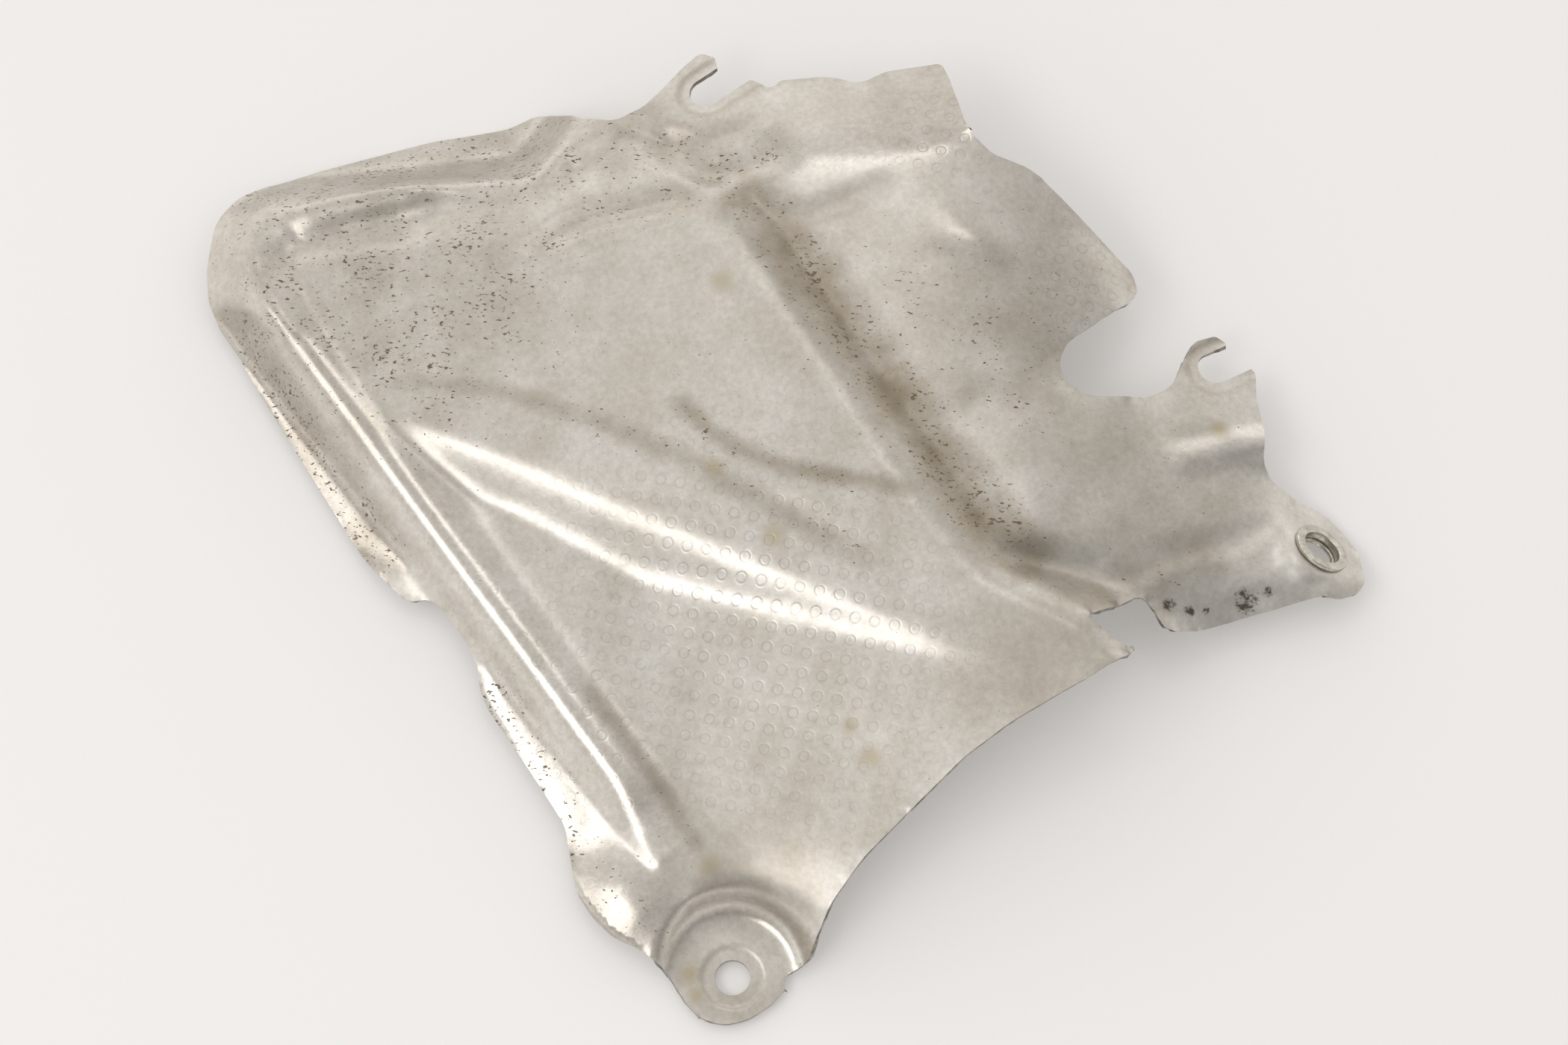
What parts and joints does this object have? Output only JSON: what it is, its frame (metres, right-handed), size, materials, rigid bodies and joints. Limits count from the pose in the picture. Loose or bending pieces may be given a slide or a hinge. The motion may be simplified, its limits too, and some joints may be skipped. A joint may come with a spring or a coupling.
{
  "type": "heat shield",
  "caption": "Pressed aluminium engine bay heat shield with edge bead, step crease, open hook slots, a flat bolt seat and a leaning steel bush.",
  "frame": {"origin": "centre of the bolt hole on the coined face of its seat", "axes": "+Z along the bolt away from the seat, +X towards the bush tab, +Y towards the back hook"},
  "size_m": [0.236, 0.2022, 0.0281],
  "materials": {
    "aluminium_sheet": "satin, dimpled and stained",
    "zinc_steel": "zinc plated"
  },
  "bodies": {
    "root": {"shield_sheet": "aluminium_sheet", "bush_sleeve": "zinc_steel", "bush_back_ring": "zinc_steel"}
  },
  "joints": []
}
